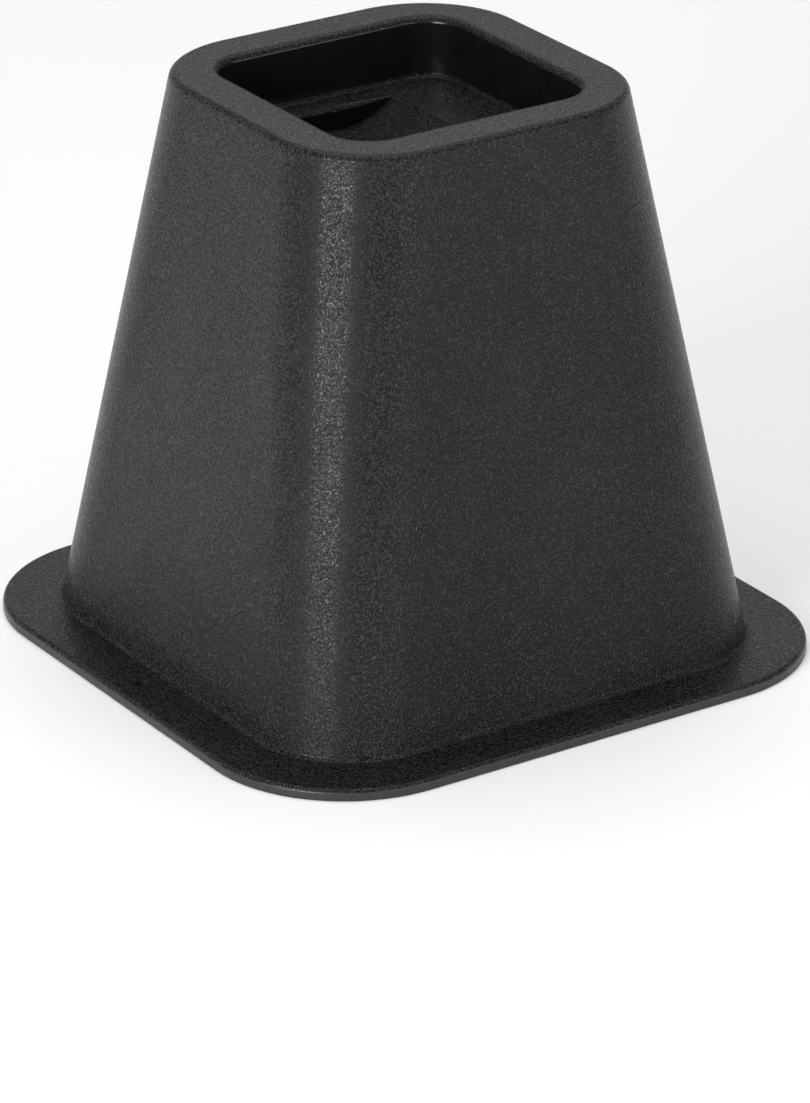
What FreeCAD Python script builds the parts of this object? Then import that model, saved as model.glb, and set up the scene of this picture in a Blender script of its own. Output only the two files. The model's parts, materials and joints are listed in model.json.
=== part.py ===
"""Bed riser: a square, tapered plastic pedestal that stands under the leg or caster of a bed.

The riser is one moulding. A flat flange spreads the load on the floor, a hollow tapered body
carries it, and a shallow cup in the top takes the furniture leg. The floor of the cup has a
trough for a caster wheel. Crossing ribs under the cup carry its floor to the walls, and rest
on the rim of the next riser when several are stacked.

Frame: millimetres, origin at the middle of the flange's underside, +Z up. The trough for the
wheel runs along Y, and the nail hole in the flange is on the -X side.
"""
import FreeCAD, Part
import math
import os

import Sketcher

# Driving sizes, in millimetres
SIZES = [
    ("foot_width", 159.9, "body across its flats, carried down to the floor"),
    ("flange_reach", 15.05, "body's side, carried down to the floor, to the flange's edge"),
    ("flange_corner", 42.3, "corner radius of the flange"),
    ("flange_thickness", 3.5, "thickness of the flange"),
    ("flange_edge_round", 1.4, "round on the flange's upper edge"),
    ("height", 166.3, "floor to the top of the rim"),
    ("body_corner", 30.5, "round on the body's four upright edges"),
    ("foot_round", 1.3, "round where the body meets the flange"),
    ("top_edge_round", 1.8, "round on the rim's outer edge"),
    ("wall", 3.5, "thickness of the body's walls and of the rim"),
    ("mouth_width", 78.8, "cup across its flats at the rim"),
    ("rim_width", 14.9, "cup's mouth to the body's outside, at the rim"),
    ("mouth_corner", 11.9, "corner radius of the cup at the rim"),
    ("lip_round", 2.2, "round on the cup's mouth"),
    ("cup_depth", 17.9, "rim to the floor of the cup"),
    ("cup_taper", 0.6, "how far each wall of the cup leans in towards its floor"),
    ("cup_floor_round", 2.6, "round between the cup's floor and its walls"),
    ("cup_wall", 3.0, "thickness of the cup's side walls"),
    ("cup_floor", 3.5, "thickness of the cup's floor"),
    ("wheel_radius", 26.6, "radius of the trough for the wheel"),
    ("wheel_sink", 6.8, "depth of the trough below the cup's floor"),
    ("trough_ledge", 8.9, "cup's wall at its floor to the end of the trough"),
    ("trough_wall", 3.2, "thickness of the plastic round the trough"),
    ("trough_end_round", 1.8, "round on the trough's two end edges"),
    ("trough_side_round", 3.0, "round on the trough's two side edges"),
    ("rib_thickness", 2.6, "thickness of a rib"),
    ("rib_offset", 19.0, "middle of the part to the middle of a rib"),
    ("nest_pitch", 31.0, "step from one riser to the next in a stack"),
    ("nail_hole", 4.5, "diameter of the nail hole"),
    ("nail_inset", 8.5, "flange edge to the middle of the nail hole"),
]

# Levels and lengths that follow from the driving sizes
FLANGE_WIDTH = "(Sizes.foot_width + 2 * Sizes.flange_reach)"
TOP_WIDTH = "(Sizes.mouth_width + 2 * Sizes.rim_width)"
DRAFT = "atan((Sizes.foot_width - " + TOP_WIDTH + ") / 2 / Sizes.height)"
MID_DECK = "(Sizes.height - Sizes.wall / 2)"
CUP_FLOOR_LEVEL = "(Sizes.height - Sizes.cup_depth)"
CUP_FLOOR_WIDTH = "(Sizes.mouth_width - 2 * Sizes.cup_taper)"
CUP_FLOOR_CORNER = "(Sizes.mouth_corner - Sizes.cup_taper)"
TROUGH_LENGTH = "(Sizes.mouth_width - 2 * Sizes.cup_taper - 2 * Sizes.trough_ledge)"
CUP_UNDERSIDE = "(Sizes.height - Sizes.cup_depth - Sizes.cup_floor)"
RIB_BOTTOM = "(Sizes.height - Sizes.nest_pitch)"
WHEEL_AXIS_LEVEL = "(Sizes.height - Sizes.cup_depth - Sizes.wheel_sink + Sizes.wheel_radius)"

RIB_COUNT = 4
TOLERANCE = 1e-3

doc = FreeCAD.newDocument("bed_riser")
sheet = doc.addObject("Spreadsheet::Sheet", "Sizes")
for row, (alias, value, meaning) in enumerate(SIZES, start=1):
    sheet.set("A%d" % row, meaning)
    sheet.set("B%d" % row, str(value))
    sheet.setAlias("B%d" % row, alias)
doc.recompute()

body = doc.addObject("PartDesign::Body", "riser")
body.Label = "riser_moulding"
body.Placement = FreeCAD.Placement()


def value_of(expression):
    """Number that an expression in the driving sizes stands for."""
    return float(sheet.evalExpression(expression))


def body_width(level):
    """Width of the tapered body across its flats at a level."""
    return "(Sizes.foot_width + (%s - Sizes.foot_width) * %s / Sizes.height)" % (TOP_WIDTH, level)


def origin_feature(role):
    """One of the body's own planes or axes."""
    return [feature for feature in body.Origin.OriginFeatures if feature.Role == role][0]


def new_sketch(name, plane_role, offset="0"):
    """Empty sketch on one of the body's own planes, moved along that plane's normal."""
    sketch = body.newObject("Sketcher::SketchObject", name)
    sketch.AttachmentSupport = [(origin_feature(plane_role), "")]
    sketch.MapMode = "FlatFace"
    sketch.setExpression("AttachmentOffset.Base.z", offset)
    return sketch


def relate(sketch, *relation):
    """Add a constraint that has no value."""
    sketch.addConstraint(Sketcher.Constraint(*relation))


def drive(sketch, name, expression, *relation):
    """Add a named constraint whose value follows an expression."""
    index = sketch.addConstraint(Sketcher.Constraint(*relation, value_of(expression)))
    sketch.renameConstraint(index, name)
    sketch.setExpression("Constraints.%s" % name, expression)


def add_square(sketch, name, width):
    """Draw a centred square."""
    half = value_of(width) / 2
    corners = [FreeCAD.Vector(x, y, 0) for x, y in ((-half, -half), (half, -half), (half, half), (-half, half))]
    for side in range(4):
        sketch.addGeometry(Part.LineSegment(corners[side], corners[(side + 1) % 4]))
    for side in range(4):
        relate(sketch, "Coincident", side, 2, (side + 1) % 4, 1)
    for side in (0, 2):
        relate(sketch, "Horizontal", side)
        relate(sketch, "Vertical", side + 1)
    relate(sketch, "Equal", 0, 1)
    relate(sketch, "Symmetric", 0, 1, 1, 2, -1, 1)
    drive(sketch, name, width, "DistanceX", 0, 1, 0, 2)


def add_rounded_square(sketch, name, width, corner):
    """Draw a centred square with round corners."""
    first = sketch.GeometryCount
    half = value_of(width) / 2
    radius = value_of(corner)
    middle = half - radius
    bulge = middle + radius * math.sqrt(0.5)
    for quarter in range(4):
        spin = FreeCAD.Rotation(FreeCAD.Vector(0, 0, 1), 90 * quarter)
        side_start = spin.multVec(FreeCAD.Vector(-middle, -half, 0))
        side_end = spin.multVec(FreeCAD.Vector(middle, -half, 0))
        arc_middle = spin.multVec(FreeCAD.Vector(bulge, -bulge, 0))
        arc_end = spin.multVec(FreeCAD.Vector(half, -middle, 0))
        sketch.addGeometry(Part.LineSegment(side_start, side_end))
        sketch.addGeometry(Part.Arc(side_end, arc_middle, arc_end))
    for side in (0, 2, 4, 6):
        arc = first + side + 1
        relate(sketch, "Tangent", first + side, 2, arc, 1)
        relate(sketch, "Tangent", arc, 2, first + (side + 2) % 8, 1)
    for side in (0, 4):
        relate(sketch, "Horizontal", first + side)
        relate(sketch, "Vertical", first + side + 2)
    for arc in (1, 3, 5):
        relate(sketch, "Equal", first + arc, first + arc + 2)
    relate(sketch, "Equal", first, first + 2)
    relate(sketch, "Symmetric", first + 1, 3, first + 5, 3, -1, 1)
    drive(sketch, name + "_width", width, "DistanceX", first + 6, 1, first + 2, 1)
    drive(sketch, name + "_corner", corner, "Radius", first + 1)


def rounded_square(name, level, width, corner):
    """Level sketch of one centred square with round corners."""
    sketch = new_sketch(name, "XY_Plane", level)
    add_rounded_square(sketch, name, width, corner)
    return sketch


def extrude(kind, name, sketch, length, symmetric=False):
    """Pad or pocket of a sketch."""
    feature = body.newObject(kind, name)
    feature.Profile = sketch
    feature.setExpression("Length", length)
    if symmetric:
        feature.SideType = "Symmetric"
    return feature


def lies_at(edge, level):
    """True if the whole edge lies at one level."""
    return all(abs(point.z - level) < TOLERANCE for point in edge.discretize(5))


def lies_within(edge, half):
    """True if the whole edge lies inside a centred square."""
    return all(max(abs(point.x), abs(point.y)) < half + TOLERANCE for point in edge.discretize(5))


def round_edges(name, radius, chosen):
    """Fillet on those edges of the part so far that a test picks."""
    doc.recompute()
    base = body.Tip
    edges = ["Edge%d" % number for number, edge in enumerate(base.Shape.Edges, start=1) if chosen(edge)]
    fillet = body.newObject("PartDesign::Fillet", name)
    fillet.Base = (base, edges)
    fillet.setExpression("Radius", radius)
    return fillet


def faces_of(feature, chosen):
    """Names of those faces of a feature that a test picks."""
    return ["Face%d" % number for number, face in enumerate(feature.Shape.Faces, start=1) if chosen(face)]


# Tapered body
foot_square = new_sketch("foot_square", "XY_Plane")
add_square(foot_square, "foot", "Sizes.foot_width")
block = extrude("PartDesign::Pad", "block", foot_square, "Sizes.height")
doc.recompute()
taper = body.newObject("PartDesign::Draft", "taper")
taper.Base = (block, faces_of(block, lambda face: abs(face.normalAt(0, 0).z) < TOLERANCE))
taper.NeutralPlane = (origin_feature("XY_Plane"), [""])
taper.setExpression("Angle", DRAFT)
rim_level = value_of("Sizes.height")
round_edges("body_edges", "Sizes.body_corner",
            lambda edge: abs(edge.Vertexes[0].Z - edge.Vertexes[-1].Z) > rim_level - TOLERANCE)

# Hollow inside of the body, open to the floor
doc.recompute()
solid_body = body.Tip
hollow = body.newObject("PartDesign::Thickness", "hollow")
hollow.Base = (solid_body, faces_of(solid_body, lambda face: face.CenterOfMass.z < TOLERANCE))
hollow.Reversed = True
hollow.setExpression("Value", "Sizes.wall")

# Flange round the foot, from the middle of the body's wall outwards
flange_ring = new_sketch("flange_ring", "XY_Plane")
add_rounded_square(flange_ring, "outside", FLANGE_WIDTH, "Sizes.flange_corner")
add_rounded_square(flange_ring, "inside", "Sizes.foot_width - Sizes.wall", "Sizes.body_corner - Sizes.wall / 2")
extrude("PartDesign::Pad", "flange", flange_ring, "Sizes.flange_thickness")
flange_top = value_of("Sizes.flange_thickness")
foot_half = value_of(body_width("Sizes.flange_thickness")) / 2
round_edges("flange_edge", "Sizes.flange_edge_round",
            lambda edge: lies_at(edge, flange_top) and not lies_within(edge, foot_half))
round_edges("foot_edge", "Sizes.foot_round",
            lambda edge: lies_at(edge, flange_top) and lies_within(edge, foot_half))
round_edges("top_edge", "Sizes.top_edge_round", lambda edge: lies_at(edge, rim_level))

# Outside of the cup, hanging from the rim
tub_outline = rounded_square("tub_outline", CUP_UNDERSIDE,
                             "Sizes.mouth_width + 2 * Sizes.cup_wall", "Sizes.mouth_corner + Sizes.cup_wall")
extrude("PartDesign::Pad", "tub", tub_outline, MID_DECK + " - " + CUP_UNDERSIDE)

# Outside of the wheel trough, below the cup
trough_shell = new_sketch("trough_shell", "XZ_Plane")
axis_level = value_of(WHEEL_AXIS_LEVEL)
shell_radius = value_of("Sizes.wheel_radius + Sizes.trough_wall")
floor_level = value_of(CUP_FLOOR_LEVEL)
chord_half = math.sqrt(shell_radius ** 2 - (axis_level - floor_level) ** 2)
chord_left = FreeCAD.Vector(-chord_half, floor_level, 0)
chord_right = FreeCAD.Vector(chord_half, floor_level, 0)
trough_shell.addGeometry(Part.Arc(chord_left, FreeCAD.Vector(0, axis_level - shell_radius, 0), chord_right))
trough_shell.addGeometry(Part.LineSegment(chord_right, chord_left))
relate(trough_shell, "Coincident", 0, 2, 1, 1)
relate(trough_shell, "Coincident", 0, 1, 1, 2)
relate(trough_shell, "Horizontal", 1)
relate(trough_shell, "PointOnObject", 0, 3, -2)
drive(trough_shell, "shell_radius", "Sizes.wheel_radius + Sizes.trough_wall", "Radius", 0)
drive(trough_shell, "axis_level", WHEEL_AXIS_LEVEL, "DistanceY", -1, 1, 0, 3)
drive(trough_shell, "chord_level", CUP_FLOOR_LEVEL, "DistanceY", -1, 1, 1, 1)
extrude("PartDesign::Pad", "trough_outside", trough_shell,
        TROUGH_LENGTH + " + 2 * Sizes.trough_wall", symmetric=True)

# Ribs from wall to wall under the cup, two each way
rib_profile = new_sketch("rib_profile", "XZ_Plane", "Sizes.rib_offset")
bottom_half = value_of(body_width(RIB_BOTTOM) + " - Sizes.wall") / 2
top_half = value_of(body_width(MID_DECK) + " - Sizes.wall") / 2
corners = [
    FreeCAD.Vector(-bottom_half, value_of(RIB_BOTTOM), 0),
    FreeCAD.Vector(bottom_half, value_of(RIB_BOTTOM), 0),
    FreeCAD.Vector(top_half, value_of(MID_DECK), 0),
    FreeCAD.Vector(-top_half, value_of(MID_DECK), 0),
]
for side in range(4):
    rib_profile.addGeometry(Part.LineSegment(corners[side], corners[(side + 1) % 4]))
for side in range(4):
    relate(rib_profile, "Coincident", side, 2, (side + 1) % 4, 1)
for level_side in (0, 2):
    relate(rib_profile, "Symmetric", level_side, 1, level_side, 2, -2)
drive(rib_profile, "bottom_length", body_width(RIB_BOTTOM) + " - Sizes.wall", "DistanceX", 0, 1, 0, 2)
drive(rib_profile, "top_length", body_width(MID_DECK) + " - Sizes.wall", "DistanceX", 2, 2, 2, 1)
drive(rib_profile, "bottom_level", RIB_BOTTOM, "DistanceY", -1, 1, 0, 1)
drive(rib_profile, "top_level", MID_DECK, "DistanceY", -1, 1, 2, 1)
rib = extrude("PartDesign::Pad", "rib", rib_profile, "Sizes.rib_thickness", symmetric=True)
ribs = body.newObject("PartDesign::PolarPattern", "ribs")
ribs.Originals = [rib]
ribs.Axis = (origin_feature("Z_Axis"), [""])
ribs.Angle = 360
ribs.Occurrences = RIB_COUNT
body.Tip = ribs

# Inside of the cup
cup = body.newObject("PartDesign::SubtractiveLoft", "cup")
cup.Profile = rounded_square("cup_floor", CUP_FLOOR_LEVEL, CUP_FLOOR_WIDTH, CUP_FLOOR_CORNER)
cup.Sections = [rounded_square("cup_mouth", "Sizes.height", "Sizes.mouth_width", "Sizes.mouth_corner")]
cup.Ruled = True
mouth_half = value_of("Sizes.mouth_width") / 2
round_edges("lip", "Sizes.lip_round",
            lambda edge: lies_at(edge, rim_level) and lies_within(edge, mouth_half))
floor_half = value_of(CUP_FLOOR_WIDTH) / 2
round_edges("cup_floor_edge", "Sizes.cup_floor_round",
            lambda edge: lies_at(edge, floor_level) and lies_within(edge, floor_half))

# Trough for the wheel
wheel = new_sketch("wheel", "XZ_Plane")
wheel.addGeometry(Part.Circle(FreeCAD.Vector(0, axis_level, 0), FreeCAD.Vector(0, 0, 1),
                              value_of("Sizes.wheel_radius")))
relate(wheel, "PointOnObject", 0, 3, -2)
drive(wheel, "wheel_radius", "Sizes.wheel_radius", "Radius", 0)
drive(wheel, "axis_level", WHEEL_AXIS_LEVEL, "DistanceY", -1, 1, 0, 3)
trough = extrude("PartDesign::Pocket", "trough", wheel, TROUGH_LENGTH, symmetric=True)
trough_end = value_of(TROUGH_LENGTH) / 2


def in_trough_mouth(edge, along_x):
    """True for an edge of the trough's mouth that runs along X, or along Y."""
    points = edge.discretize(5)
    length = abs(points[0].x - points[-1].x) if along_x else abs(points[0].y - points[-1].y)
    inside = all(abs(point.y) < trough_end + TOLERANCE for point in points)
    return lies_at(edge, floor_level) and inside and length > TOLERANCE


round_edges("trough_ends", "Sizes.trough_end_round", lambda edge: in_trough_mouth(edge, True))
round_edges("trough_sides", "Sizes.trough_side_round", lambda edge: in_trough_mouth(edge, False))

# Nail hole in the flange
nail = new_sketch("nail", "XY_Plane", "Sizes.flange_thickness")
nail_place = FLANGE_WIDTH + " / 2 - Sizes.nail_inset"
nail.addGeometry(Part.Circle(FreeCAD.Vector(-value_of(nail_place), 0, 0), FreeCAD.Vector(0, 0, 1),
                             value_of("Sizes.nail_hole") / 2))
relate(nail, "PointOnObject", 0, 3, -1)
drive(nail, "diameter", "Sizes.nail_hole", "Diameter", 0)
drive(nail, "place", nail_place, "DistanceX", 0, 3, -1, 1)
nail_hole = extrude("PartDesign::Pocket", "nail_hole", nail, "Sizes.flange_thickness")

doc.recompute()
for item in doc.Objects:
    if "Invalid" in item.State or "Error" in item.State:
        raise RuntimeError("%s failed: %s" % (item.Name, item.State))
for cut in (taper, hollow, cup, trough, nail_hole):
    if cut.Shape.Volume > cut.BaseFeature.Shape.Volume - TOLERANCE:
        raise RuntimeError("%s cuts nothing" % cut.Name)
shape = body.Shape
if shape.isNull() or not shape.isValid():
    raise RuntimeError("the riser is not a valid solid")

os.makedirs("parts", exist_ok=True)
shape.exportStep("parts/%s.step" % body.Label)
print("%s: %d solid, %.0f cubic millimetres" % (body.Label, len(shape.Solids), shape.Volume))
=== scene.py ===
"""Bed riser: one charcoal moulding with a pebbled skin, on a pale floor under soft studio light.

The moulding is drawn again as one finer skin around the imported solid, from the same sizes, so that
each rounding shades smoothly and the grained and the polished parts of the mould can be told apart.
"""

import json
import logging
import math
from dataclasses import dataclass, field
from enum import IntEnum
from typing import Callable, Iterable

import bmesh
import bpy
from mathutils import Matrix, Vector


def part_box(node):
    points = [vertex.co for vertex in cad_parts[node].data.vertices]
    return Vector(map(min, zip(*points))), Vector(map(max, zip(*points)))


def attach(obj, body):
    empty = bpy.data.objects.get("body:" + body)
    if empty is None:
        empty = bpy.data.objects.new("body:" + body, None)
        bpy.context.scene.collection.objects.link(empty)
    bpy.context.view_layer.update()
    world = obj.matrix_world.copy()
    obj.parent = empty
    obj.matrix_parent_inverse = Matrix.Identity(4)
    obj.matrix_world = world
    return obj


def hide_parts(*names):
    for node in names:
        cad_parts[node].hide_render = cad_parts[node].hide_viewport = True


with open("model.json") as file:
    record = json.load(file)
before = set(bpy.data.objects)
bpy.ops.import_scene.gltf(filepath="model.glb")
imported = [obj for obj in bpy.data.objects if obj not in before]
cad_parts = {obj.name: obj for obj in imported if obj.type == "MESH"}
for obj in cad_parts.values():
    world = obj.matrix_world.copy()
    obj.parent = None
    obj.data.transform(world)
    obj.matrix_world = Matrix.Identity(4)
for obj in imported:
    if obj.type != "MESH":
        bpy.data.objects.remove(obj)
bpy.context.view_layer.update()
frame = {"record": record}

LOG = logging.getLogger("bed_riser")
NODE = "riser_moulding"
BODY = "root"
MM = 0.001
NEAR = 1e-6

QUARTERS = 4
CORNER_STEPS = 20
SIDE_STEPS = 6
QUARTER_STEPS = CORNER_STEPS + SIDE_STEPS
RING_STEPS = QUARTERS * QUARTER_STEPS
LARGE_ROUND_STEPS = 6
SMALL_ROUND_STEPS = 5
FINE_ROUND_STEPS = 3

SHARP_ANGLE = math.radians(32.0)
NORMAL_WEIGHT = 80
UPRIGHT_LIMIT = 0.3
UNDERSIDE_LIMIT = -0.5
POLISH_STOP = 0.6


class Skin(IntEnum):
    """Which face of the mould a stretch of the skin was pressed against."""

    GRAINED = 0
    POLISHED = 1
    PLAIN = 2


@dataclass(frozen=True)
class Section:
    """Level outline of the moulding: a centred square with round corners."""

    half: float
    corner: float
    level: float

    def spot(self, step: int) -> Vector:
        """Place of one of the outline's points.

        Args:
            step: number of the point, counted round the outline from the +X side.

        Returns:
            The point.
        """
        quarter, part = divmod(step, QUARTER_STEPS)
        middle = self.half - self.corner
        if part <= CORNER_STEPS:
            angle = math.radians(90.0 * part / CORNER_STEPS)
            point = Vector((middle + self.corner * math.cos(angle),
                            middle + self.corner * math.sin(angle), self.level))
        else:
            share = (part - CORNER_STEPS) / SIDE_STEPS
            point = Vector((middle * (1.0 - 2.0 * share), self.half, self.level))
        return Matrix.Rotation(math.radians(90.0 * quarter), 3, "Z") @ point

    def holds(self, vert: bmesh.types.BMVert) -> bool:
        """Tell whether a vertex is one of the outline's points.

        Args:
            vert: the vertex.

        Returns:
            True if it lies on the outline.
        """
        if abs(vert.co.z - self.level) > NEAR:
            return False
        beyond = Vector((max(abs(vert.co.x) - self.half + self.corner, 0.0),
                         max(abs(vert.co.y) - self.half + self.corner, 0.0)))
        on_side = abs(max(abs(vert.co.x), abs(vert.co.y)) - self.half) < NEAR
        return abs(beyond.length - self.corner) < NEAR and (on_side or min(beyond) > 0.0)


class RingSkin:
    """Closed skin that is drawn from one level outline to the next."""

    def __init__(self, first: Section) -> None:
        """Start the skin with a filled outline.

        Args:
            first: outline that the skin starts from.
        """
        self.bm = bmesh.new()
        ring = bmesh.ops.create_circle(self.bm, segments=RING_STEPS, radius=first.half)["verts"]
        self.steps = {vert: step for step, vert in enumerate(ring)}
        self.place(first)
        self.fill()

    def place(self, section: Section) -> None:
        """Lay the open ring on an outline."""
        for vert, step in self.steps.items():
            vert.co = section.spot(step)

    def ring_edges(self) -> list[bmesh.types.BMEdge]:
        """Edges of the open ring."""
        return [edge for edge in self.bm.edges if all(vert in self.steps for vert in edge.verts)]

    def fill(self) -> None:
        """Close the open ring with one flat face."""
        bmesh.ops.edgeloop_fill(self.bm, edges=self.ring_edges())

    def draw_to(self, section: Section) -> None:
        """Draw the skin on to another outline.

        Args:
            section: the outline.
        """
        made = bmesh.ops.extrude_edge_only(self.bm, edges=self.ring_edges())["geom"]
        ring = [item for item in made if isinstance(item, bmesh.types.BMVert)]
        moved = {}
        for vert in ring:
            for edge in vert.link_edges:
                other = edge.other_vert(vert)
                if other in self.steps:
                    moved[vert] = self.steps[other]
        self.steps = moved
        self.place(section)


def round_edges(bm: bmesh.types.BMesh, chosen: Callable[[bmesh.types.BMEdge], bool], radius: float,
                turn: float, segments: int) -> None:
    """Round the edges that a test picks.

    Args:
        bm: mesh that holds the edges.
        chosen: test that picks them.
        radius: radius of the rounding.
        turn: angle by which the surface turns at the edges, in radians.
        segments: number of facets across the rounding.
    """
    edges = [edge for edge in bm.edges if chosen(edge)]
    bmesh.ops.bevel(bm, geom=edges, offset=radius * math.tan(turn / 2.0), offset_type="OFFSET",
                    segments=segments, profile=0.5, affect="EDGES", material=-1)


def object_from(bm: bmesh.types.BMesh, name: str) -> bpy.types.Object:
    """Turn a bmesh into an object of the scene.

    Args:
        bm: mesh, which is freed.
        name: name of the object.

    Returns:
        The object.
    """
    mesh = bpy.data.meshes.new(name)
    bm.to_mesh(mesh)
    bm.free()
    piece = bpy.data.objects.new(name, mesh)
    bpy.context.scene.collection.objects.link(piece)
    return piece


def combine(piece: bpy.types.Object, operation: str, tools: Iterable[bpy.types.Object]) -> None:
    """Unite a piece with others, or cut others out of it.

    Args:
        piece: the piece.
        operation: UNION or DIFFERENCE.
        tools: the other closed meshes, which stay.
    """
    for tool in tools:
        modifier = piece.modifiers.new(tool.name, "BOOLEAN")
        modifier.operation = operation
        modifier.solver = "EXACT"
        modifier.object = tool
    settle(piece)


def settle(piece: bpy.types.Object) -> None:
    """Turn a piece's modifiers into mesh.

    Args:
        piece: the piece.
    """
    evaluated = piece.evaluated_get(bpy.context.evaluated_depsgraph_get())
    mesh = bpy.data.meshes.new_from_object(evaluated)
    piece.modifiers.clear()
    piece.data = mesh


@dataclass
class Shell:
    """Flange, hollow tapered body, rim and cup, drawn as one closed skin."""

    flange_half: float
    height: float
    cup_floor: float
    flange_corner: float = 42.3 * MM
    flange_thickness: float = 3.5 * MM
    flange_edge_round: float = 1.4 * MM
    flange_foot_round: float = 0.35 * MM
    flange_reach: float = 15.05 * MM
    body_corner: float = 30.5 * MM
    foot_round: float = 1.3 * MM
    top_edge_round: float = 2.1 * MM
    wall: float = 3.5 * MM
    mouth_half: float = 39.4 * MM
    mouth_corner: float = 11.9 * MM
    rim_width: float = 14.9 * MM
    lip_round: float = 2.2 * MM
    cup_taper: float = 0.6 * MM
    cup_floor_round: float = 1.5 * MM
    cup_wall: float = 3.0 * MM
    cup_base: float = 3.5 * MM

    @property
    def lean(self) -> float:
        """Angle of the body's walls from upright."""
        foot_half = self.flange_half - self.flange_reach
        return math.atan((foot_half - self.mouth_half - self.rim_width) / self.height)

    @property
    def cup_lean(self) -> float:
        """Angle of the cup's walls from upright."""
        return math.atan(self.cup_taper / (self.height - self.cup_floor))

    def outside(self, level: float) -> Section:
        """Outline of the body's outside at a level."""
        foot_half = self.flange_half - self.flange_reach
        return Section(foot_half - level * math.tan(self.lean), self.body_corner, level)

    def inside(self, level: float) -> Section:
        """Outline of the hollow at a level."""
        outer = self.outside(level)
        return Section(outer.half - self.wall / math.cos(self.lean), outer.corner - self.wall, level)

    def build(self) -> bmesh.types.BMesh:
        """Draw the skin and round its edges.

        Returns:
            The mesh.
        """
        cup_floor = Section(self.mouth_half - self.cup_taper, self.mouth_corner - self.cup_taper,
                            self.cup_floor)
        mouth = Section(self.mouth_half, self.mouth_corner, self.height)
        rim = self.outside(self.height)
        foot = self.outside(self.flange_thickness)
        flange_top = Section(self.flange_half, self.flange_corner, self.flange_thickness)
        flange_base = Section(self.flange_half, self.flange_corner, 0.0)
        deck = self.height - self.wall
        tub_top = Section(self.mouth_half + self.cup_wall, self.mouth_corner + self.cup_wall, deck)
        tub_base = Section(tub_top.half, tub_top.corner, self.cup_floor - self.cup_base)
        skin = RingSkin(cup_floor)
        for section in (mouth, rim, foot, flange_top, flange_base, self.inside(0.0), self.inside(deck),
                        tub_top, tub_base):
            skin.draw_to(section)
        skin.fill()
        square = math.radians(90.0)
        for section, radius, turn, segments in (
                (cup_floor, self.cup_floor_round, square - self.cup_lean, LARGE_ROUND_STEPS),
                (mouth, self.lip_round, square - self.cup_lean, LARGE_ROUND_STEPS),
                (rim, self.top_edge_round, square - self.lean, LARGE_ROUND_STEPS),
                (foot, self.foot_round, square - self.lean, SMALL_ROUND_STEPS),
                (flange_top, self.flange_edge_round, square, SMALL_ROUND_STEPS),
                (flange_base, self.flange_foot_round, square, FINE_ROUND_STEPS)):
            round_edges(skin.bm, lambda edge, outline=section: all(map(outline.holds, edge.verts)),
                        radius, turn, segments)
        bmesh.ops.recalc_face_normals(skin.bm, faces=skin.bm.faces)
        return skin.bm


@dataclass
class WheelTrough:
    """Round-bottomed trough for a caster's wheel in the floor of the cup."""

    cup_floor: float
    radius: float = 26.6 * MM
    sink: float = 6.8 * MM
    length: float = 59.8 * MM
    wall: float = 3.2 * MM
    end_round: float = 1.8 * MM
    side_round: float = 3.0 * MM
    steps: int = 128

    @property
    def axis_level(self) -> float:
        """Level of the wheel's axis."""
        return self.cup_floor - self.sink + self.radius

    def drum(self, radius: float, length: float) -> bmesh.types.BMesh:
        """Round bar that lies along Y, centred on the wheel's axis.

        Args:
            radius: radius of the bar.
            length: length of the bar.

        Returns:
            The mesh.
        """
        bm = bmesh.new()
        place = Matrix.Translation((0.0, 0.0, self.axis_level)) @ Matrix.Rotation(math.radians(90.0), 4, "X")
        bmesh.ops.create_cone(bm, cap_ends=True, segments=self.steps, radius1=radius, radius2=radius,
                              depth=length, matrix=place)
        return bm

    def cutter(self) -> bpy.types.Object:
        """Bar that cuts the trough."""
        return object_from(self.drum(self.radius, self.length), "trough_cutter")

    def bulge(self) -> bpy.types.Object:
        """Plastic round the trough, cut off in the thickness of the cup's floor.

        Returns:
            The closed bulge.
        """
        bm = self.drum(self.radius + self.wall, self.length + 2.0 * self.wall)
        everything = [*bm.verts, *bm.edges, *bm.faces]
        middle = (0.0, 0.0, self.cup_floor - self.wall / 2.0)
        cut = bmesh.ops.bisect_plane(bm, geom=everything, plane_co=middle, plane_no=(0.0, 0.0, 1.0),
                                     clear_outer=True)["geom_cut"]
        bmesh.ops.edgeloop_fill(bm, edges=[item for item in cut if isinstance(item, bmesh.types.BMEdge)])
        bmesh.ops.recalc_face_normals(bm, faces=bm.faces)
        return object_from(bm, "trough_bulge")

    def in_mouth(self, edge: bmesh.types.BMEdge, across: bool) -> bool:
        """Tell whether an edge belongs to the trough's mouth.

        Args:
            edge: the edge.
            across: true for the two ends, false for the two long sides.

        Returns:
            True if the edge is one of them.
        """
        start, end = (vert.co for vert in edge.verts)
        level = max(abs(start.z - self.cup_floor), abs(end.z - self.cup_floor)) < NEAR
        inside = max(abs(start.y), abs(end.y)) < self.length / 2.0 + NEAR
        narrow = max(abs(start.x), abs(end.x)) < self.radius
        runs_across = abs(start.x - end.x) > abs(start.y - end.y)
        return level and inside and narrow and runs_across == across

    def soften(self, bm: bmesh.types.BMesh) -> None:
        """Round the trough's mouth.

        Args:
            bm: mesh of the moulding.
        """
        side_turn = math.acos((self.radius - self.sink) / self.radius)
        round_edges(bm, lambda edge: self.in_mouth(edge, True), self.end_round, math.radians(90.0),
                    SMALL_ROUND_STEPS)
        round_edges(bm, lambda edge: self.in_mouth(edge, False), self.side_round, side_turn,
                    SMALL_ROUND_STEPS)


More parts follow.
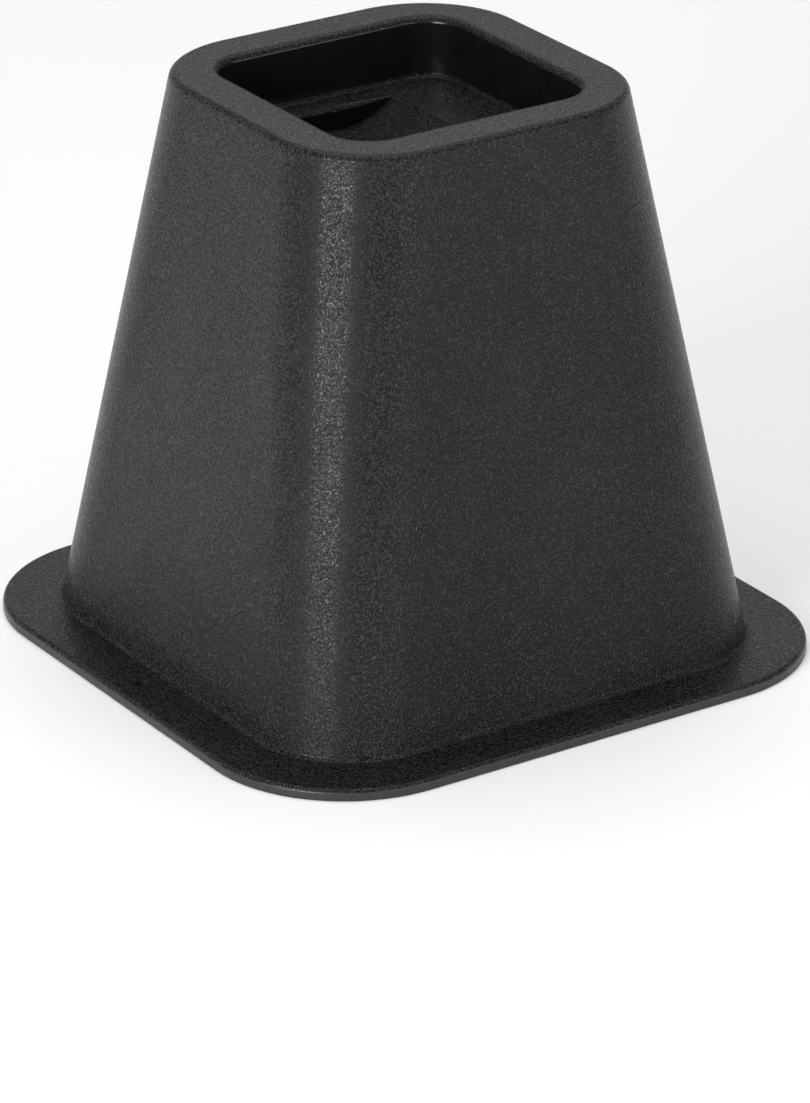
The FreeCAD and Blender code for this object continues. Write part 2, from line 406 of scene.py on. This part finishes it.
@dataclass
class RibGrid:
    """Crossing ribs under the cup, two each way, from wall to wall."""

    shell: Shell
    thickness: float = 2.6 * MM
    offset: float = 19.0 * MM
    nest_pitch: float = 31.0 * MM

    def bars(self) -> list[bpy.types.Object]:
        """One closed bar for each rib, with both ends in the middle of the body's walls.

        Returns:
            The bars.
        """
        bottom = self.shell.height - self.nest_pitch
        top = self.shell.height - self.shell.wall / 2.0
        made = []
        for number in range(QUARTERS):
            bm = bmesh.new()
            bmesh.ops.create_cube(bm, size=1.0)
            for vert in bm.verts:
                level = top if vert.co.z > 0.0 else bottom
                reach = self.shell.outside(level).half - self.shell.wall / 2.0
                along = math.copysign(reach, vert.co.x)
                vert.co = Vector((along, self.offset + vert.co.y * self.thickness, level))
            bmesh.ops.rotate(bm, verts=bm.verts, cent=(0.0, 0.0, 0.0),
                             matrix=Matrix.Rotation(math.radians(90.0 * number), 3, "Z"))
            made.append(object_from(bm, "rib_%d" % number))
        return made

    def clearance(self) -> bpy.types.Object:
        """Block that takes the ribs out of the cup, down to the middle of its walls and floor.

        Returns:
            The block.
        """
        bm = bmesh.new()
        bmesh.ops.create_cube(bm, size=1.0)
        width = 2.0 * self.shell.mouth_half + self.shell.cup_wall
        low = self.shell.cup_floor - self.shell.cup_base / 2.0
        depth = 2.0 * (self.shell.height - low)
        bmesh.ops.scale(bm, verts=bm.verts, vec=(width, width, depth))
        bmesh.ops.translate(bm, verts=bm.verts, vec=(0.0, 0.0, low + depth / 2.0))
        return object_from(bm, "cup_clearance")


@dataclass
class NailHole:
    """Small round hole through the flange."""

    place: Vector
    radius: float
    flange_thickness: float
    steps: int = 48

    def drill(self) -> bpy.types.Object:
        """Upright bar that cuts the hole.

        Returns:
            The bar.
        """
        bm = bmesh.new()
        bmesh.ops.create_cone(bm, cap_ends=True, segments=self.steps, radius1=self.radius,
                              radius2=self.radius, depth=3.0 * self.flange_thickness,
                              matrix=Matrix.Translation(self.place))
        return object_from(bm, "nail_drill")


@dataclass
class Riser:
    """The whole moulding."""

    shell: Shell
    trough: WheelTrough
    ribs: RibGrid
    nail_hole: NailHole
    skins: dict[Skin, bpy.types.Material] = field(default_factory=dict)

    def build(self) -> bpy.types.Object:
        """Unite the parts of the moulding, cut its hollows and dress it.

        Returns:
            The moulding.
        """
        ribs = self.ribs.bars()
        clearance = self.ribs.clearance()
        for rib in ribs:
            combine(rib, "DIFFERENCE", [clearance])
        piece = object_from(self.shell.build(), "riser")
        bulge = self.trough.bulge()
        combine(piece, "UNION", [bulge, *ribs])
        cutters = [self.trough.cutter(), self.nail_hole.drill()]
        combine(piece, "DIFFERENCE", cutters)
        for tool in (clearance, bulge, *ribs, *cutters):
            bpy.data.objects.remove(tool)
        bm = bmesh.new()
        bm.from_mesh(piece.data)
        bmesh.ops.remove_doubles(bm, verts=bm.verts, dist=NEAR)
        self.trough.soften(bm)
        for face in bm.faces:
            face.smooth = True
            face.material_index = self.skin_of(face)
        bm.to_mesh(piece.data)
        bm.free()
        for skin in Skin:
            piece.data.materials.append(self.skins[skin])
        piece.data.set_sharp_from_angle(angle=SHARP_ANGLE)
        weighted = piece.modifiers.new("weighted_normals", "WEIGHTED_NORMAL")
        weighted.keep_sharp = True
        weighted.weight = NORMAL_WEIGHT
        settle(piece)
        return piece

    def skin_of(self, face: bmesh.types.BMFace) -> Skin:
        """Which face of the mould a face of the skin was pressed against.

        Args:
            face: the face.

        Returns:
            The kind of skin there.
        """
        centre = face.calc_center_median()
        across = max(abs(centre.x), abs(centre.y))
        shell = self.shell
        trough_bottom = self.trough.axis_level - self.trough.radius
        in_cup = across < shell.mouth_half + NEAR and centre.z > trough_bottom - NEAR
        upright = abs(face.normal.z) < UPRIGHT_LIMIT
        # the cup's upright walls take the polished finish, whose darker colour is painted shade inside the
        # cup
        if in_cup and upright and centre.z < shell.height - shell.lip_round * POLISH_STOP:
            return Skin.POLISHED
        if in_cup and face.normal.z > 0.0:
            return Skin.GRAINED
        # the flange's edge band takes the plain finish, whose lighter colour is partly painted reflection of
        # the floor's light
        if face.normal.z < UNDERSIDE_LIMIT or (upright and centre.z < shell.flange_thickness):
            return Skin.PLAIN
        outer = shell.outside(max(centre.z, 0.0)).half - shell.wall / 2.0
        inner = shell.inside(max(centre.z, 0.0))
        corner = inner.half - inner.corner
        beyond = Vector((max(abs(centre.x) - corner, 0.0), max(abs(centre.y) - corner, 0.0))).length
        hollow = beyond < inner.corner + shell.wall / 2.0 and across < outer
        if hollow and centre.z < shell.height - shell.wall + NEAR:
            return Skin.PLAIN
        return Skin.GRAINED


class NodeSheet:
    """Shader nodes of one material or of the surroundings, laid out by code."""

    def __init__(self, owner: bpy.types.Material | bpy.types.World) -> None:
        """Start with an empty node tree.

        Args:
            owner: the material or the surroundings that the nodes belong to.
        """
        owner.use_nodes = True
        self.tree = owner.node_tree
        self.tree.nodes.clear()

    def add(self, kind: str, inputs: dict[str, object] | None = None, **settings: object) -> bpy.types.Node:
        """Add one node.

        Args:
            kind: Blender's name for the node's type.
            inputs: values for its input sockets, by name. A socket as value is linked.
            **settings: properties to set on the node.

        Returns:
            The new node.
        """
        node = self.tree.nodes.new(kind)
        for name, value in settings.items():
            setattr(node, name, value)
        for name, value in (inputs or {}).items():
            if isinstance(value, bpy.types.NodeSocket):
                self.tree.links.new(value, node.inputs[name])
            else:
                node.inputs[name].default_value = value
        return node

    def ramp(self, source: bpy.types.NodeSocket, old: tuple[float, float],
             new: tuple[float, float]) -> bpy.types.NodeSocket:
        """Carry one range of values over to another.

        Args:
            source: output that gives the value.
            old: range that the value comes in.
            new: range that it is carried to.

        Returns:
            Output with the new value.
        """
        node = self.add("ShaderNodeMapRange", {"Value": source, "From Min": old[0], "From Max": old[1],
                                               "To Min": new[0], "To Max": new[1]})
        return node.outputs["Result"]


@dataclass(frozen=True)
class MouldedPlastic:
    """Injection-moulded charcoal plastic, with the grain of the mould's face. Its base colour is painted:
    dark in the grain's pits as painted shade, light on its peaks as painted highlight.
    """

    name: str
    # the pit colour is painted shade in the grain's pits, the peak colour painted highlight on its peaks
    pit_painted_shade_colour: tuple[float, float, float]
    peak_painted_highlight_colour: tuple[float, float, float]
    pit_roughness: float
    peak_roughness: float
    grain_size: float
    grain_depth: float
    grain_detail: float = 1.0
    grain_harshness: float = 0.5
    grain_band: tuple[float, float] = (0.43, 0.63)
    specular_level: float = 0.35
    cloud_share: float = 0.25
    cloud_size: float = 22.0 * MM
    cloud_detail: float = 3.0
    cloud_band: tuple[float, float] = (0.3, 0.7)

    def make(self) -> bpy.types.Material:
        """Build the material.

        Returns:
            The material.
        """
        material = bpy.data.materials.new(self.name)
        sheet = NodeSheet(material)
        place = sheet.add("ShaderNodeTexCoord").outputs["Object"]
        pebble = sheet.add("ShaderNodeTexNoise", {"Vector": place, "Scale": 1.0 / self.grain_size,
                                                  "Detail": self.grain_detail,
                                                  "Roughness": self.grain_harshness}).outputs["Fac"]
        height = sheet.ramp(pebble, self.grain_band, (0.0, 1.0))
        bump = sheet.add("ShaderNodeBump", {"Height": height, "Strength": 1.0, "Distance": self.grain_depth})
        cloud = sheet.add("ShaderNodeTexNoise", {"Vector": place, "Scale": 1.0 / self.cloud_size,
                                                 "Detail": self.cloud_detail}).outputs["Fac"]
        drift = sheet.ramp(cloud, self.cloud_band, (-self.cloud_share / 2.0, self.cloud_share / 2.0))
        share = sheet.add("ShaderNodeMath", {0: height, 1: drift}, operation="ADD", use_clamp=True).outputs[0]
        # base colour runs from the painted-shade pit colour to the painted-highlight peak colour by the
        # grain's height, with a random cloud of tone added
        painted_shade_and_cloud_tint = sheet.add("ShaderNodeMix", {"Factor": share}, data_type="RGBA")
        painted_shade_and_cloud_tint.inputs["A"].default_value = (*self.pit_painted_shade_colour, 1.0)
        painted_shade_and_cloud_tint.inputs["B"].default_value = (*self.peak_painted_highlight_colour, 1.0)
        rough = sheet.ramp(height, (0.0, 1.0), (self.pit_roughness, self.peak_roughness))
        shader = sheet.add("ShaderNodeBsdfPrincipled", {"Base Color": painted_shade_and_cloud_tint.outputs["Result"],
                                                        "Roughness": rough,
                                                        "Specular IOR Level": self.specular_level,
                                                        "Normal": bump.outputs["Normal"]})
        sheet.add("ShaderNodeOutputMaterial", {"Surface": shader.outputs[0]})
        return material


FINISHES = {
    # grained faces: near-black pits are painted shade and lighter peaks are painted highlight, over the
    # grain's real bumps
    Skin.GRAINED: MouldedPlastic(
        "grained_plastic_painted_pit_shade", pit_painted_shade_colour=(0.0003, 0.0003, 0.00033), peak_painted_highlight_colour=(0.020, 0.020, 0.0207),
        pit_roughness=0.34, peak_roughness=0.17, grain_size=0.62 * MM, grain_depth=0.22 * MM,
        specular_level=0.25),
    # polished cup walls: a smooth finish, and a darker colour that is painted shade inside the cup
    Skin.POLISHED: MouldedPlastic(
        "polished_plastic_painted_cup_shade", pit_painted_shade_colour=(0.005, 0.005, 0.0054), peak_painted_highlight_colour=(0.007, 0.007, 0.0075),
        pit_roughness=0.22, peak_roughness=0.16, grain_size=6.0 * MM, grain_depth=0.01 * MM),
    # plain faces: a smooth finish, and a lighter colour that is partly painted reflection of the floor's
    # light on the flange's edge band
    Skin.PLAIN: MouldedPlastic(
        "plain_plastic_painted_floor_light", pit_painted_shade_colour=(0.012, 0.012, 0.0124), peak_painted_highlight_colour=(0.018, 0.018, 0.0186),
        pit_roughness=0.4, peak_roughness=0.32, grain_size=1.6 * MM, grain_depth=0.03 * MM,
        specular_level=0.5),
}


@dataclass
class Viewpoint:
    """Camera at the angle from which the riser is pictured."""

    azimuth: float = math.radians(-33.1586)
    elevation: float = math.radians(24.0811)
    roll: float = math.radians(-0.308)
    distance: float = 1755.8 * MM
    aim_right: float = 0.98 * MM
    aim_up: float = 20.54 * MM
    lens: float = 199.46
    sensor: float = 36.0
    far_clip: float = 30.0

    def place(self) -> bpy.types.Object:
        """Put the camera in the scene.

        Returns:
            The camera.
        """
        forward = Vector((-math.sin(self.azimuth) * math.cos(self.elevation),
                          math.cos(self.azimuth) * math.cos(self.elevation),
                          -math.sin(self.elevation)))
        level_right = Vector((math.cos(self.azimuth), math.sin(self.azimuth), 0.0))
        level_up = level_right.cross(forward)
        right = math.cos(self.roll) * level_right + math.sin(self.roll) * level_up
        up = right.cross(forward)
        stand = self.aim_right * right + self.aim_up * up - self.distance * forward
        data = bpy.data.cameras.new("camera")
        data.lens = self.lens
        data.sensor_width = self.sensor
        data.clip_end = self.far_clip
        camera = bpy.data.objects.new("camera", data)
        turn = Matrix((right, up, -forward)).transposed().to_4x4()
        camera.matrix_world = Matrix.Translation(stand) @ turn
        bpy.context.scene.collection.objects.link(camera)
        bpy.context.scene.camera = camera
        return camera


@dataclass(frozen=True)
class Softbox:
    """One oblong lamp that points at the riser."""

    name: str
    place: tuple[float, float, float]
    size: tuple[float, float]
    power: float
    aim: tuple[float, float, float] = (0.0, 0.0, 0.08)

    def hang(self) -> bpy.types.Object:
        """Put the lamp in the scene.

        Returns:
            The lamp.
        """
        data = bpy.data.lights.new(self.name, "AREA")
        data.shape = "RECTANGLE"
        data.size, data.size_y = self.size
        data.energy = self.power
        lamp = bpy.data.objects.new(self.name, data)
        stand = Vector(self.place)
        turn = (Vector(self.aim) - stand).to_track_quat("-Z", "Y").to_matrix().to_4x4()
        lamp.matrix_world = Matrix.Translation(stand) @ turn
        bpy.context.scene.collection.objects.link(lamp)
        return lamp


LAMPS = (
    Softbox("left_softbox", (-1.42, -0.6, 0.4), (0.9, 0.8), 27.0),
    Softbox("overhead_softbox", (0.2, 0.3, 2.6), (2.8, 2.8), 66.0),
    Softbox("back_softbox", (1.4, 2.15, 1.6), (2.0, 1.0), 6.0),
    Softbox("front_softbox", (0.9, -2.4, 0.6), (2.4, 1.2), 22.0),
)

SURROUNDINGS = ((0.0, 0.85), (5.0, 0.85), (9.0, 0.2), (30.0, 0.16), (45.0, 0.1), (90.0, 0.1))


@dataclass
class Studio:
    """Pale floor, surroundings that are pale only along the horizon, and soft lamps."""

    floor_half: float = 2.1
    floor_colour: tuple[float, float, float] = (0.9, 0.9, 0.9)
    floor_roughness: float = 0.9
    surroundings: tuple[tuple[float, float], ...] = SURROUNDINGS
    lamps: Iterable[Softbox] = LAMPS

    def lay_floor(self) -> bpy.types.Object:
        """Lay the floor.

        Returns:
            The floor.
        """
        bm = bmesh.new()
        bmesh.ops.create_grid(bm, x_segments=1, y_segments=1, size=self.floor_half)
        floor = object_from(bm, "floor")
        material = bpy.data.materials.new("pale_floor")
        sheet = NodeSheet(material)
        shader = sheet.add("ShaderNodeBsdfPrincipled", {"Base Color": (*self.floor_colour, 1.0),
                                                        "Roughness": self.floor_roughness})
        sheet.add("ShaderNodeOutputMaterial", {"Surface": shader.outputs[0]})
        floor.data.materials.append(material)
        return floor

    def light(self) -> None:
        """Set up the lamps, and the surroundings that darken upwards from the horizon."""
        world = bpy.data.worlds.new("surroundings")
        bpy.context.scene.world = world
        sheet = NodeSheet(world)
        direction = sheet.add("ShaderNodeTexCoord").outputs["Generated"]
        rise = sheet.add("ShaderNodeSeparateXYZ", {"Vector": direction}).outputs["Z"]
        tone = sheet.add("ShaderNodeValToRGB", {"Fac": rise})
        stops = tone.color_ramp.elements
        for number, (angle, strength) in enumerate(self.surroundings):
            if number >= len(stops):
                stops.new(1.0)
            stops[number].position = math.sin(math.radians(angle))
            stops[number].color = (strength, strength, strength, 1.0)
        glow = sheet.add("ShaderNodeBackground", {"Color": tone.outputs["Color"], "Strength": 1.0})
        sheet.add("ShaderNodeOutputWorld", {"Surface": glow.outputs[0]})
        for lamp in self.lamps:
            lamp.hang()


def mount(name: str) -> dict:
    """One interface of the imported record.

    Args:
        name: name of the mount.

    Returns:
        The mount as the record gives it.
    """
    return next(entry for entry in frame["record"]["mounts"] if entry["name"] == name)


def main() -> None:
    """Build and dress the riser, then light it and set the camera."""
    logging.basicConfig(level=logging.INFO)
    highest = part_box(NODE)[1]
    cup_floor = mount("cup_floor")["pos_m"][2]
    nail = mount("nail_hole")
    shell = Shell(highest.x, highest.z, cup_floor)
    hole = NailHole(Vector(nail["pos_m"]), nail["dims"]["r_mm"] * MM, shell.flange_thickness)
    riser = Riser(shell, WheelTrough(cup_floor), RibGrid(shell), hole,
                  {skin: finish.make() for skin, finish in FINISHES.items()})
    piece = riser.build()
    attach(piece, BODY)
    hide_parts(NODE)
    LOG.info("%s: %d faces on body %s", piece.name, len(piece.data.polygons), BODY)
    studio = Studio()
    studio.lay_floor()
    studio.light()
    Viewpoint().place()
    bpy.context.scene.view_settings.view_transform = "Standard"


if __name__ == "__main__":
    main()
